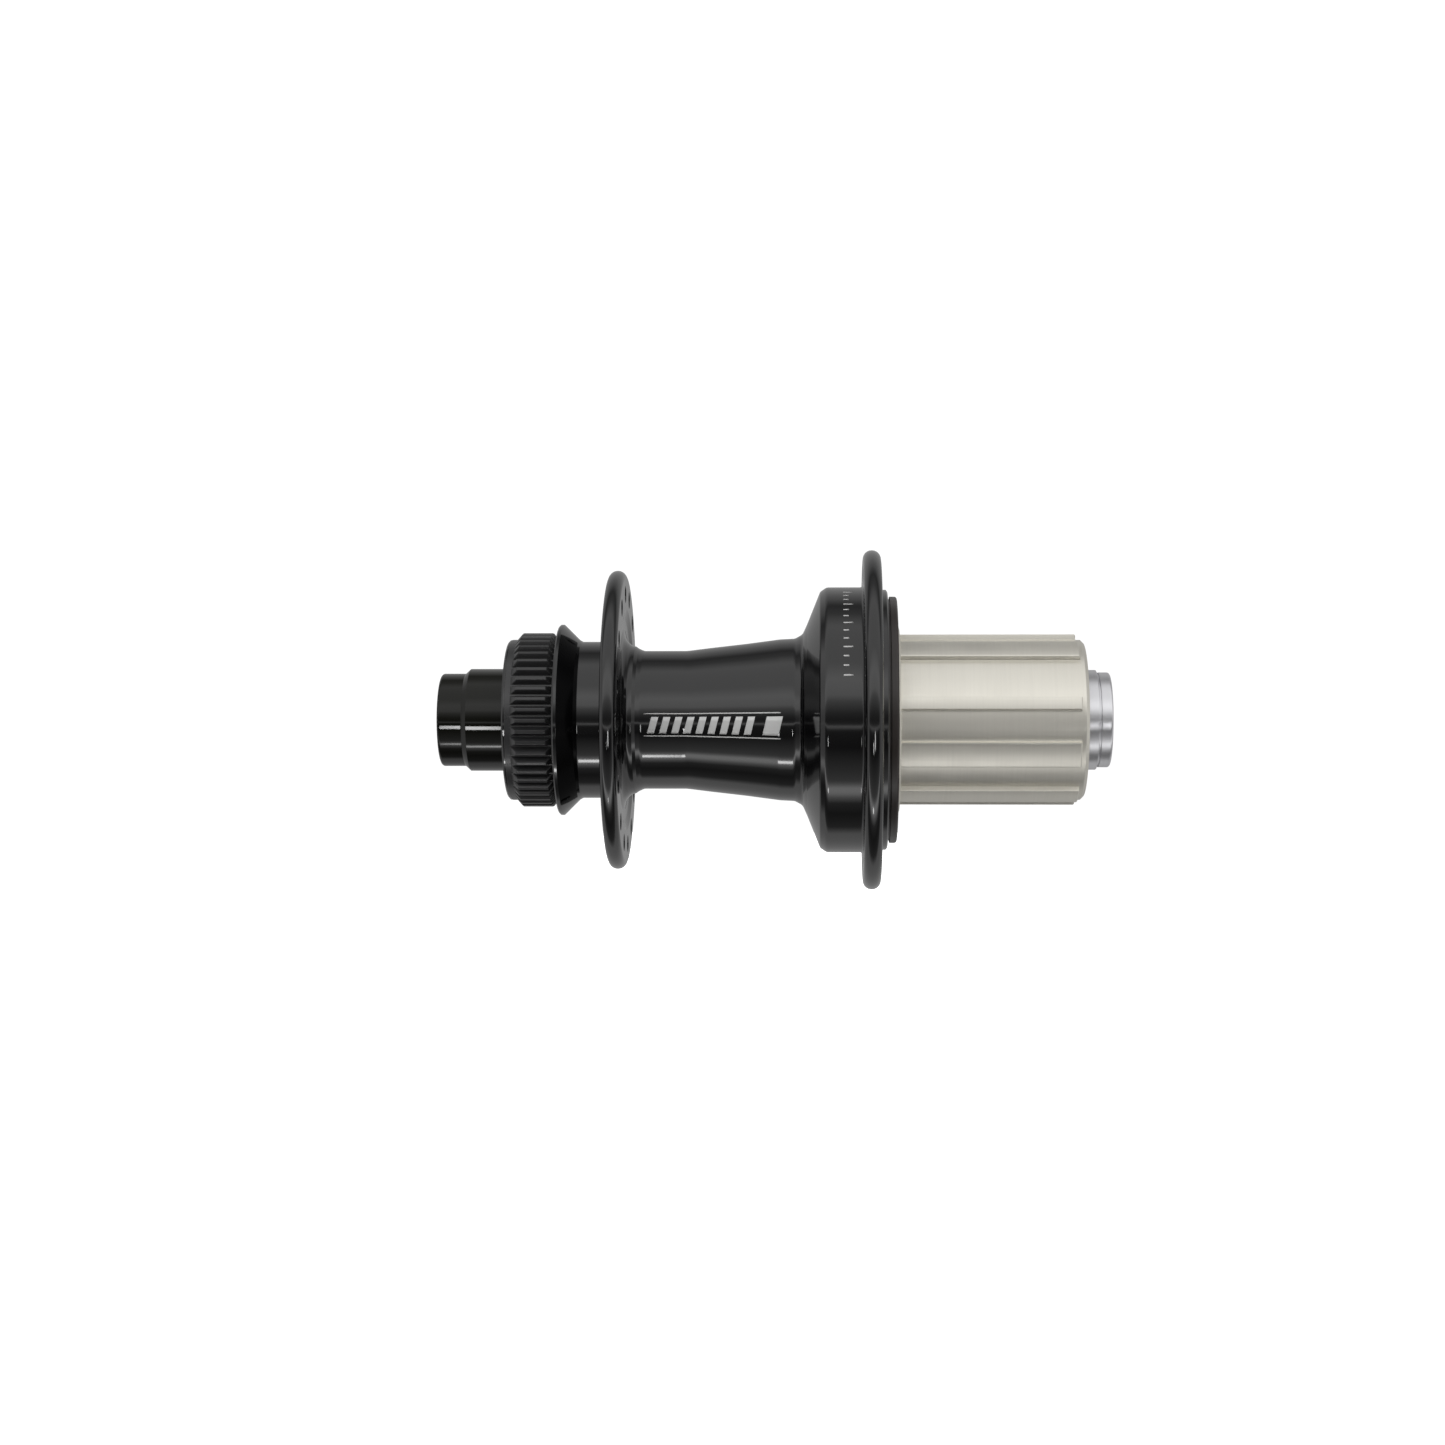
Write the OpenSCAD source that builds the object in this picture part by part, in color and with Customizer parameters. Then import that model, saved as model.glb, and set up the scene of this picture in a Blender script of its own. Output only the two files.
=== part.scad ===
// Rear bicycle hub: shell with spoke flanges and splined rotor boss, six-pawl freehub,
// cartridge bearings and end caps for a 12 mm thru axle.
// +Y points to the drive side along the axle, and +Z points up. The origin is on the axis, midway between
// the two end faces.

/* [Overall] */
// Distance between the two end faces that the frame clamps
over_locknut = 135; // [133:0.5:137]
// Radius of the hole for the thru axle
axle_hole_r = 6.05; // [6.01:0.01:6.1]

/* [Flanges] */
// Outer radius of the disc-side flange
disc_flange_r = 30.24; // [29:0.1:32]
// Outer radius of the drive-side flange
drive_flange_r = 34.27; // [33:0.1:36]
// Axial place of the middle of the disc-side flange
disc_flange_y = -31.6; // [-32.5:0.1:-31]
// Axial place of the middle of the drive-side flange
drive_flange_y = 19.7; // [19.4:0.1:19.9]
// Thickness of the disc-side flange at its rim
disc_flange_t = 3.3; // [2.8:0.1:3.6]
// Thickness of the drive-side flange at its rim
drive_flange_t = 3.6; // [3:0.1:3.8]
// Circle radius of the disc-side spoke holes
disc_spoke_circle_r = 25.5; // [25:0.1:26]
// Circle radius of the drive-side spoke holes
drive_spoke_circle_r = 30; // [29.8:0.1:30.4]
// Radius of a spoke hole
spoke_hole_r = 1.3; // [1.2:0.05:1.4]
// Spoke holes in each flange
spokes_per_flange = 16; // [12, 14, 16, 18]
// Depth of the countersink of a spoke hole, which also widens it by that much
spoke_sink = 0.5; // [0.3:0.1:0.6]
// Angle of the first disc-side spoke hole from the horizontal
spoke_phase = 7; // [0:0.5:22]

/* [Shell] */
// Smallest outside radius of the barrel
barrel_r = 13.98; // [13.7:0.1:14.5]
// Outside radius of the ratchet housing
housing_r = 26.8; // [26.6:0.1:27.2]
// Main bore radius through the barrel
shell_bore_r = 12; // [11.6:0.1:12.2]

/* [Rotor boss] */
// Axial place of the boss end face
boss_end_y = -53.7; // [-54:0.1:-53.4]
// Radius of the boss between the spline teeth
spline_root_r = 16.27; // [16.2:0.01:16.35]
// Radius over the spline teeth
spline_tip_r = 17.62; // [17.5:0.01:17.7]
// Number of spline teeth
spline_teeth = 50; // [48, 50, 52]
// Axial place of the shoulder that the rotor rests on
rotor_shoulder_y = -43.4; // [-43.6:0.1:-43.2]
// Outside radius of the rotor shoulder
rotor_shoulder_r = 19.33; // [19:0.1:19.6]
// Radius of the lockring thread in the boss
boss_thread_r = 14.5; // [14.3:0.1:14.7]

/* [Freehub] */
// Radius over the cassette lands
land_r = 17.25; // [17.15:0.05:17.3]
// Radius of the floor between the lands
land_floor_r = 16.14; // [16:0.02:16.3]
// Width of a wide land in degrees
land_width = 18; // [16:0.5:20]
// Axial place of the shoulder that the largest sprocket rests on
cassette_shoulder_y = 25.2; // [25:0.1:25.4]
// Axial place where the lands end
land_end_y = 60.65; // [60:0.05:60.8]
// Axial place of the freehub end face
freehub_end_y = 62.2; // [61.8:0.1:62.4]
// Radius of the cassette shoulder
cassette_shoulder_r = 18.76; // [18.6:0.02:18.8]
// Radius of the lockring thread in the freehub mouth
freehub_thread_r = 14.8; // [14.6:0.1:14.9]

/* [Ratchet] */
// Teeth of the ratchet ring, a multiple of the six pawls
ratchet_teeth = 48; // [48]
// Radius at the tips of the ratchet teeth
ratchet_tip_r = 20.7; // [20.7:0.05:20.8]
// Radius at the roots of the ratchet teeth
ratchet_root_r = 22; // [21.95:0.05:22.1]
// Outside radius of the ratchet ring
ratchet_r = 24.4; // [24.3:0.1:24.5]
// Number of pawls
pawls = 6; // [6]
// Radius of the circle that the pawls pivot on
pawl_pivot_r = 16.6; // [16.6]

/* [Hidden] */
$fn = 96;

black = "#141415";
silver = "#c8c5b7";
bright = "#d9dadc";
steel = "#8f9296";
rubber = "#26211f";
nylon = "#5b4a33";

end_y = over_locknut / 2;
axle_r = 8.5;
axle_shoulder_r = 9.75;
axle_bore_r = 6.5;
fit_gap = 0.02;
cavity_y = 10.9;
mouth_y = 22.8;
neck_r = 15.85;
disc_seat_y = -46.7;
carrier_r = 20.2;
carrier_y = 11.5;
carrier_end_y = 20.3;
sleeve_bore_r = 11.5;
lockring_seat_y = 54.6;
circlip_y = 53.15;
circlip_t = 1;
circlip_groove_r = 13.7;
o_ring_r = 0.39;
o_ring_places = [-48.65, 56.35];
o_ring_groove_r = 7.6;
pocket_y = 12.1;
pocket_length = 7.4;
pawl_heel_r = 1.9;
ratchet_face = -29.45;
spline_phase = 0.7;
shoulder_relief = 0.2;
relief_r = 17.9;
seal_r = 24.9;
seal_flange_y = 23.2;
seal_end_y = 24.7;
seal_t = 0.4;

// Bearings as [middle y, bore radius, outside radius, width, ball radius, number of balls]
disc_bearing = [-42.7, axle_r, 14, 7, 1.75, 12];
drive_bearing = [6.7, axle_r, 15, 7, 2, 12];
freehub_inner_bearing = [15, axle_r, 13, 5, 1.4, 14];
freehub_outer_bearing = [50.5, axle_r, 13, 5, 1.4, 14];

function bearing_left(b) = b[0] - b[3] / 2;
function bearing_right(b) = b[0] + b[3] / 2;

// Points of an arc in a profile, with angles measured from the outward radial direction
function arc(centre, r, from, to, steps = 8) =
    [for (i = [0:steps]) let (a = from + (to - from) * i / steps)
        [centre[0] + r * cos(a), centre[1] + r * sin(a)]];

// A point at a radius and an angle in a cross-section
function at_angle(r, a) = [r * cos(a), r * sin(a)];

// Turn a shape that is drawn along +Z so that it runs along +Y
module along_y() { rotate([-90, 0, 0]) children(); }

// A solid of revolution about the axle, from a profile of [radius, y] points
module turned(profile) { along_y() rotate_extrude($fn = 96) polygon(profile); }

// A plain ring about the axle
module ring(inner_r, outer_r, from_y, to_y) {
    turned([[inner_r, from_y], [outer_r, from_y], [outer_r, to_y], [inner_r, to_y]]);
}

// A cross-section drawn about the axle and carried from one y to another
module carried(from_y, to_y) {
    along_y() translate([0, 0, from_y]) linear_extrude(to_y - from_y) children();
}

// ---- Hub shell -----------------------------------------------------------------------------------------

// Outside of the shell from the boss end face to the mouth of the ratchet housing
function shell_outside() =
    let (d_in = disc_flange_y - disc_flange_t / 2, d_out = disc_flange_y + disc_flange_t / 2,
         d_rim = disc_flange_r - disc_flange_t / 2,
         v_in = drive_flange_y - drive_flange_t / 2, v_out = drive_flange_y + drive_flange_t / 2,
         v_rim = drive_flange_r - drive_flange_t / 2)
    concat(
        [[boss_thread_r + 0.5, boss_end_y], [spline_root_r - 0.4, boss_end_y],
         [spline_root_r, boss_end_y + 0.4], [spline_root_r, rotor_shoulder_y + shoulder_relief],
         [relief_r, rotor_shoulder_y + shoulder_relief], [relief_r, rotor_shoulder_y],
         [rotor_shoulder_r - 0.3, rotor_shoulder_y], [rotor_shoulder_r, rotor_shoulder_y + 0.3],
         [rotor_shoulder_r, -42.55], [16.25, -39.45]],
        arc([neck_r + 0.6, -38.6], 0.6, 235, 180, 3),
        arc([neck_r + 0.8, d_in - 0.8], 0.8, 180, 90, 4),
        [[d_rim, d_in]],
        arc([d_rim, disc_flange_y], disc_flange_t / 2, -80, 80, 10),
        [[d_rim, d_out], [22.6, d_out], [20.6, d_out - 0.45], [18.6, d_out - 0.55],
         [16.8, d_out - 0.3], [15.6, d_out + 0.5], [15, d_out + 1.4], [14.9, d_out + 1.95],
         [14.45, -27.35], [14.14, -26.8], [barrel_r, -26.2], [barrel_r, -18.4],
         [14.06, -17.2], [14.25, -15.6], [15.4, -5.6], [16.2, 0.9], [16.38, 2.5], [16.45, 4.1],
         [16.7, 4.9], [17.15, 5.5], [18, 6.1], [19.4, 6.7], [24.1, 8.57], [25.6, 9.2], [26.35, 9.75],
         [housing_r, 10.6], [housing_r, v_in - 0.6]],
        arc([housing_r + 0.6, v_in - 0.6], 0.6, 180, 90, 4),
        [[v_rim, v_in]],
        arc([v_rim, drive_flange_y], drive_flange_t / 2, -80, 80, 10),
        [[v_rim, v_out], [26.3, v_out], [26.25, mouth_y - 0.35], [25.9, mouth_y]]);

// Bore of the shell from its mouth back to the boss end face
function shell_inside() =
    [[ratchet_r, mouth_y], [ratchet_r, cavity_y], [drive_bearing[2], cavity_y],
     [drive_bearing[2], bearing_left(drive_bearing)], [shell_bore_r, bearing_left(drive_bearing)],
     [shell_bore_r, bearing_right(disc_bearing)], [disc_bearing[2], bearing_right(disc_bearing)],
     [disc_bearing[2], disc_seat_y], [boss_thread_r, disc_seat_y], [boss_thread_r, boss_end_y + 0.5]];

// Ring of spoke holes with a countersink on both faces of a flange
module spoke_holes(circle_r, flange_y, flange_t, phase) {
    for (i = [0:spokes_per_flange - 1])
        along_y() rotate([0, 0, phase + i * 360 / spokes_per_flange]) translate([circle_r, 0, flange_y]) {
            cylinder(r = spoke_hole_r, h = flange_t + 2, center = true, $fn = 24);
            for (side = [-1, 1])
                translate([0, 0, side * (flange_t / 2 + 0.1)]) mirror([0, 0, side > 0 ? 0 : 1])
                    translate([0, 0, -spoke_sink - 0.1])
                        cylinder(r1 = spoke_hole_r, r2 = spoke_hole_r + spoke_sink + 0.1,
                                 h = spoke_sink + 0.1, $fn = 24);
        }
}

// Toothed cross-section of the rotor spline: sloping sides, 0.8 pitches apart at the root and 0.3 at the tip
module spline_section() {
    pitch = 360 / spline_teeth;
    polygon([for (i = [0:spline_teeth - 1], corner = [[-0.474, 0], [-0.113, 1], [0.113, 1], [0.474, 0]])
        at_angle(corner[1] > 0 ? spline_tip_r + 0.2 : spline_root_r - 0.4,
                 spline_phase + (i + corner[0]) * pitch)]);
}

module rotor_spline() {
    intersection() {
        carried(-51.9, -43.8) spline_section();
        turned([[boss_thread_r + 0.6, -51.9], [spline_root_r - 0.1, -51.9], [spline_tip_r, -50.8],
                [spline_tip_r, -44.8], [spline_root_r - 0.1, -43.8], [boss_thread_r + 0.6, -43.8]]);
    }
}

module hub_shell() {
    color(black) difference() {
        union() {
            turned(concat(shell_outside(), shell_inside()));
            rotor_spline();
        }
        spoke_holes(disc_spoke_circle_r, disc_flange_y, disc_flange_t, spoke_phase);
        spoke_holes(drive_spoke_circle_r, drive_flange_y, drive_flange_t,
                    spoke_phase + 180 / spokes_per_flange);
    }
}

// ---- Ratchet ring, pawls and springs ---------------------------------------------------------------------

// Saw-toothed cross-section: a radial face, a ramp and a narrow tip on each tooth. The faces look against
// the forward turn, so the pawls drive the ring forward and slip under it backward.
module ratchet_section() {
    pitch = 360 / ratchet_teeth;
    polygon([for (i = [0:ratchet_teeth - 1],
                  corner = [[0, ratchet_tip_r], [0, ratchet_root_r], [0.6, ratchet_root_r],
                            [pitch - 0.6, ratchet_tip_r]])
        at_angle(corner[1], ratchet_face + i * pitch + corner[0])]);
}

module ratchet_ring() {
    color(steel) difference() {
        ring(ratchet_tip_r - 2, ratchet_r, cavity_y, 20.5);
        carried(cavity_y - 1, 21.5) ratchet_section();
    }
}

// Circle about the pivot of a pawl
module pivot_circle(r) { translate([pawl_pivot_r, 0]) circle(r = r, $fn = 48); }

// Place of one of the six pawls, from a cross-section with the pivot on the first axis
module at_pawl(i, from_y, length) {
    along_y() rotate([0, 0, (i - 1) * 360 / pawls]) mirror([0, 1, 0]) translate([0, 0, from_y])
        linear_extrude(length) children();
}

// A pawl folded flat: round heel at the pivot, arm, and tip that meets the ratchet teeth
module pawl(i) {
    color(steel) union() {
        at_pawl(i, pocket_y + 0.2, pocket_length - 0.4) pivot_circle(pawl_heel_r);
        at_pawl(i, pocket_y + 0.2, pocket_length - 0.4)
            polygon([[15.3, 1.1], [15.6, 4.5], [15.9, 9.25], [17.58, 10.15], [17.7, 8.2], [18.2, 0.5],
                     [pawl_pivot_r + 0.2, -0.3]]);
    }
}

// Pocket that a pawl swings in, open to the ratchet teeth, with a round seat for its heel
module pawl_pocket(i) {
    at_pawl(i, pocket_y, pocket_length) pivot_circle(pawl_heel_r + 0.15);
    at_pawl(i, pocket_y, pocket_length)
        polygon([[14.8, 1.2], [14.8, 11.2], [21.5, 11.6], [21.5, 0.45], [pawl_pivot_r + 0.2, 0.45]]);
}

// Folded leaf spring that lies on the floor of the pocket and lifts the pawl
module pawl_spring(i) {
    color(bright) at_pawl(i, 14, 4)
        polygon([[14.82, 10.6], [14.82, 3.6], [15.06, 3.6], [15.66, 8.4], [15.5, 8.5], [15, 4.9],
                 [15, 10.6]]);
}

// ---- Freehub -------------------------------------------------------------------------------------------

// Cross-section of the cassette lands: eight wide lands and one narrow one, 40 degrees apart
module land_section() {
    inner = land_floor_r - 0.5;
    outer = land_r + 0.5;
    half = land_width / 2;
    for (i = [0:8]) {
        first = i == 0 ? -15.1 : 40 * i - 16 - half;
        last = i == 0 ? -6.9 : 40 * i - 16 + half;
        polygon([at_angle(inner, first), at_angle(outer, first), at_angle(outer, last),
                 at_angle(inner, last)]);
    }
}

module cassette_lands() {
    intersection() {
        carried(cassette_shoulder_y - 0.1, land_end_y) land_section();
        turned([[15, cassette_shoulder_y - 0.1], [land_r, cassette_shoulder_y - 0.1],
                [land_r, land_end_y - 0.5], [land_r - 0.5, land_end_y], [15, land_end_y]]);
    }
}

module freehub_body() {
    b1 = freehub_inner_bearing;
    b2 = freehub_outer_bearing;
    color(silver) difference() {
        union() {
            turned([[b1[2], carrier_y], [carrier_r - 0.2, carrier_y], [carrier_r, carrier_y + 0.2],
                    [carrier_r, carrier_end_y - 0.2], [carrier_r - 0.2, carrier_end_y],
                    [cassette_shoulder_r, carrier_end_y], [cassette_shoulder_r, cassette_shoulder_y - 0.25],
                    [cassette_shoulder_r - 0.25, cassette_shoulder_y], [land_floor_r, cassette_shoulder_y],
                    [land_floor_r, freehub_end_y - 0.65], [land_floor_r - 0.65, freehub_end_y],
                    [freehub_thread_r + 0.4, freehub_end_y], [freehub_thread_r, freehub_end_y - 0.4],
                    [freehub_thread_r, lockring_seat_y], [b2[2], lockring_seat_y], [b2[2], bearing_left(b2)],
                    [sleeve_bore_r, bearing_left(b2)], [sleeve_bore_r, bearing_right(b1)],
                    [b1[2], bearing_right(b1)]]);
            cassette_lands();
        }
        ring(b2[2] - 0.5, circlip_groove_r, circlip_y - 0.05, circlip_y + circlip_t + 0.05);
        for (i = [1:pawls]) pawl_pocket(i);
    }
}

module freehub_circlip() {
    color(steel) difference() {
        ring(12.1, circlip_groove_r - 0.05, circlip_y, circlip_y + circlip_t);
        carried(52, 55) polygon([[0, 0], at_angle(30, -14), at_angle(30, 14)]);
    }
}

// Seal ring pressed into the shell mouth, with its lip just clear of the freehub
module freehub_seal() {
    lip_r = cassette_shoulder_r + 0.3;
    color(rubber) turned(concat(
        [[lip_r + 0.9, 20.8], [ratchet_r - fit_gap, 20.8], [ratchet_r - fit_gap, seal_flange_y],
         [seal_r, seal_flange_y]],
        arc([seal_r - 0.5, seal_end_y - 0.5], 0.5, 0, 90, 4),
        [[lip_r + 0.5, seal_end_y], [lip_r, seal_end_y - 0.3], [lip_r, 22.6], [lip_r + 0.9, 22.2]]));
}

// ---- Axle, end caps and spacers --------------------------------------------------------------------------

module axle() {
    color(bright) difference() {
        turned([[axle_bore_r, -50.6], [axle_r - 0.4, -50.6], [axle_r, -50.2], [axle_r, -39.2],
                [axle_shoulder_r, -39.2], [axle_shoulder_r, 3.2], [axle_r, 3.2], [axle_r, 57.2],
                [axle_r - 0.4, 57.6], [axle_bore_r, 57.6]]);
        for (y = o_ring_places) ring(o_ring_groove_r, 9.5, y - 0.65, y + 0.65);
    }
}

module cap_o_ring(y) {
    color(rubber) along_y() translate([0, 0, y]) rotate_extrude($fn = 96)
        translate([o_ring_groove_r + 0.5, 0]) circle(r = o_ring_r, $fn = 24);
}

module disc_cap_o_ring() { cap_o_ring(o_ring_places[0]); }
module drive_cap_o_ring() { cap_o_ring(o_ring_places[1]); }

module disc_end_cap() {
    nose_r = 9.4;
    seat_r = 10.36;
    dust_r = 12.9;
    race_y = bearing_left(disc_bearing);
    color(black) turned(concat(
        [[axle_hole_r, -end_y + 0.5], [axle_hole_r + 0.5, -end_y]],
        arc([nose_r - 0.7, -end_y + 0.7], 0.7, -90, 0, 5),
        [[nose_r, -62.6], [seat_r, -61.55], [seat_r, -48.6], [dust_r, -48.1], [dust_r, -47.2],
         [9.9, -46.8], [9.9, race_y], [axle_r + fit_gap, race_y], [axle_r + fit_gap, -50.9],
         [axle_hole_r, -50.9]]));
}

module drive_end_cap() {
    nose_r = 9.57;
    seat_r = 10.07;
    dust_r = 12.6;
    groove_r = 9.2;
    race_y = bearing_right(freehub_outer_bearing);
    color(bright) turned(concat(
        [[axle_hole_r, 57.9], [axle_r + fit_gap, 57.9], [axle_r + fit_gap, race_y], [9.8, race_y],
         [9.8, 54.4], [dust_r, 54.8], [dust_r, 55.6], [seat_r, 56.1], [seat_r, 64.6], [seat_r - 0.2, 64.8],
         [groove_r, 64.8], [groove_r, 65.2], [nose_r - 0.1, 65.2], [nose_r, 65.3]],
        arc([nose_r - 0.6, end_y - 0.6], 0.6, 0, 90, 5),
        [[axle_hole_r + 0.5, end_y], [axle_hole_r, end_y - 0.5]]));
}

module shell_to_freehub_spacer() {
    color(bright) ring(axle_r + fit_gap, 9.7, bearing_right(drive_bearing),
                       bearing_left(freehub_inner_bearing));
}

module freehub_bearing_spacer() {
    color(bright) ring(axle_r + fit_gap, 9.7, bearing_right(freehub_inner_bearing),
                       bearing_left(freehub_outer_bearing));
}

// ---- Cartridge bearings ----------------------------------------------------------------------------------

function pitch_r(b) = (b[1] + b[2]) / 2;
function inner_land_r(b) = pitch_r(b) - 0.64 * b[4];
function outer_land_r(b) = pitch_r(b) + 0.64 * b[4];

// Round groove that the balls run in
module ball_track(b) {
    along_y() translate([0, 0, b[0]]) rotate_extrude($fn = 96) translate([pitch_r(b), 0])
        circle(r = b[4] + 0.1, $fn = 32);
}

module inner_race(b) {
    color(steel) difference() {
        ring(b[1], inner_land_r(b), bearing_left(b), bearing_right(b));
        ball_track(b);
    }
}

module outer_race(b) {
    color(steel) difference() {
        ring(outer_land_r(b), b[2], bearing_left(b), bearing_right(b));
        ball_track(b);
    }
}

// What follows, repeated at each ball of a bearing
module at_balls(b) {
    along_y() for (i = [0:b[5] - 1]) rotate([0, 0, i * 360 / b[5]]) translate([pitch_r(b), 0, b[0]])
        children();
}

module balls(b) {
    color(bright) at_balls(b) sphere(r = b[4], $fn = 32);
}

// Ring with a round window for each ball
module cage(b) {
    color(nylon) difference() {
        ring(pitch_r(b) - 0.45, pitch_r(b) + 0.45, b[0] - b[4] - 0.35, b[0] + b[4] + 0.35);
        at_balls(b) rotate([0, 90, 0]) cylinder(r = b[4] + 0.12, h = 2, center = true, $fn = 32);
    }
}

module seals(b) {
    half = seal_t / 2;
    color(rubber) for (middle = [bearing_left(b) + 0.1 + half, bearing_right(b) - 0.1 - half])
        ring(inner_land_r(b) + 0.25, outer_land_r(b), middle - half, middle + half);
}

// ---- Nodes -----------------------------------------------------------------------------------------------

hub_shell();
ratchet_ring();
freehub_seal();
axle();
disc_end_cap();
drive_end_cap();
disc_cap_o_ring();
drive_cap_o_ring();
freehub_body();
shell_to_freehub_spacer();
freehub_bearing_spacer();
freehub_circlip();
inner_race(disc_bearing);  // disc_bearing_inner_race
outer_race(disc_bearing);  // disc_bearing_outer_race
balls(disc_bearing);  // disc_bearing_balls
cage(disc_bearing);  // disc_bearing_cage
seals(disc_bearing);  // disc_bearing_seals
inner_race(drive_bearing);  // drive_bearing_inner_race
outer_race(drive_bearing);  // drive_bearing_outer_race
balls(drive_bearing);  // drive_bearing_balls
cage(drive_bearing);  // drive_bearing_cage
seals(drive_bearing);  // drive_bearing_seals
inner_race(freehub_inner_bearing);  // freehub_inner_bearing_inner_race
outer_race(freehub_inner_bearing);  // freehub_inner_bearing_outer_race
balls(freehub_inner_bearing);  // freehub_inner_bearing_balls
cage(freehub_inner_bearing);  // freehub_inner_bearing_cage
seals(freehub_inner_bearing);  // freehub_inner_bearing_seals
inner_race(freehub_outer_bearing);  // freehub_outer_bearing_inner_race
outer_race(freehub_outer_bearing);  // freehub_outer_bearing_outer_race
balls(freehub_outer_bearing);  // freehub_outer_bearing_balls
cage(freehub_outer_bearing);  // freehub_outer_bearing_cage
seals(freehub_outer_bearing);  // freehub_outer_bearing_seals
pawl(1);  // pawl_1
pawl(2);  // pawl_2
pawl(3);  // pawl_3
pawl(4);  // pawl_4
pawl(5);  // pawl_5
pawl(6);  // pawl_6
pawl_spring(1);  // pawl_spring_1
pawl_spring(2);  // pawl_spring_2
pawl_spring(3);  // pawl_spring_3
pawl_spring(4);  // pawl_spring_4
pawl_spring(5);  // pawl_spring_5
pawl_spring(6);  // pawl_spring_6
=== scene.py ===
import bmesh
import bpy
import numpy as np
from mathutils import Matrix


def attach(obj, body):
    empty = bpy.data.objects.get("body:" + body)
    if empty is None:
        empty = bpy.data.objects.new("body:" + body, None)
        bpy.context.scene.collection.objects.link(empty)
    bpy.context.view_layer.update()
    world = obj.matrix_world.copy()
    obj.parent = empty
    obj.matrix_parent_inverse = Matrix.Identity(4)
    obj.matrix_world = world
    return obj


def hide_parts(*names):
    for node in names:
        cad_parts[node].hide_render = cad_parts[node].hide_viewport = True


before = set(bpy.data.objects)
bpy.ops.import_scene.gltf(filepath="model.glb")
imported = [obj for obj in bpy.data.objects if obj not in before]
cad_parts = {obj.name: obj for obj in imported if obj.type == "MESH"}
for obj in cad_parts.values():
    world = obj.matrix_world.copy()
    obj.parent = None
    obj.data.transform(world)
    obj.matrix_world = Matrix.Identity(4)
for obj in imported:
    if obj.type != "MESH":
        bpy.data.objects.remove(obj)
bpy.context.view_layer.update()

# ---- Hub shell --------------------------------------------------------------------------------------------
# One forging of aluminium, turned all over, drilled for 32 spokes and anodised gloss black. It runs from the
# splined boss for the rotor on the left to the ratchet housing on the right, and turns on two bearings.
MM = 0.001


def rounded(corners, steps=6):
    """Closed profile of a turned part. Each corner is (radius, y, rounding) in millimetres. The arc of a
    corner starts and ends at rounding over the tangent of half the angle between the sides, or less where
    two arcs share a side. One more point just outside each end keeps the sides straight in the shading."""
    corners = np.array(corners, float)
    here, rounding = corners[:, :2], corners[:, 2]
    back = np.roll(here, 1, axis=0) - here
    ahead = np.roll(here, -1, axis=0) - here
    back_length = np.linalg.norm(back, axis=1)
    ahead_length = np.linalg.norm(ahead, axis=1)
    back = back / back_length[:, None]
    ahead = ahead / ahead_length[:, None]
    half = np.arccos(np.clip((back * ahead).sum(1), -1, 1)) / 2
    wanted = np.where(half > 1.55, 0, rounding / np.tan(np.clip(half, 0.01, 1.57))) + 1e-6
    back_share = back_length / (wanted + np.roll(wanted, 1))
    ahead_share = ahead_length / (wanted + np.roll(wanted, -1))
    reach = wanted * np.minimum(1, 0.97 * np.minimum(back_share, ahead_share))
    radius = reach * np.tan(np.clip(half, 0.01, 1.57))
    middle_way = back + ahead
    middle_way = middle_way / np.maximum(np.linalg.norm(middle_way, axis=1), 1e-9)[:, None]
    centre = here + middle_way * (reach / np.cos(np.clip(half, 0, 1.56)))[:, None]
    start = here + back * reach[:, None]
    end = here + ahead * reach[:, None]
    first = (start - centre) / np.maximum(radius, 1e-9)[:, None]
    last = (end - centre) / np.maximum(radius, 1e-9)[:, None]
    swept = np.maximum(np.pi - 2 * half, 1e-6)
    t = np.linspace(0, 1, steps + 1)
    a = np.sin((1 - t)[None, :] * swept[:, None]) / np.sin(swept)[:, None]
    b = np.sin(t[None, :] * swept[:, None]) / np.sin(swept)[:, None]
    along_arc = a[..., None] * first[:, None] + b[..., None] * last[:, None]
    arc = centre[:, None] + radius[:, None, None] * along_arc
    arc = np.where((radius < 1e-4)[:, None, None], here[:, None], arc)
    guard = np.minimum(0.35 * reach, 0.01 * np.minimum(back_length, ahead_length))[:, None]
    rows = np.concatenate([(start + back * guard)[:, None], arc, (end + ahead * guard)[:, None]], axis=1)
    rows = rows.reshape(-1, 2)
    apart = np.linalg.norm(rows - np.roll(rows, 1, axis=0), axis=1)
    return rows[apart > 1e-3]


def about_axle(radius, y, angles):
    """Grid of points about the axle from radii and places y, given by row or by row and column, and angles
    by column in degrees. An angle is measured from the front, +X, upward."""
    angles = np.radians(angles)[None, :]
    radius = radius[:, None] if radius.ndim == 1 else radius
    y = y[:, None] if y.ndim == 1 else y
    radius, y, angles = np.broadcast_arrays(radius, y, angles)
    return np.stack([radius * np.cos(angles), y, radius * np.sin(angles)], axis=-1)


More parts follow.
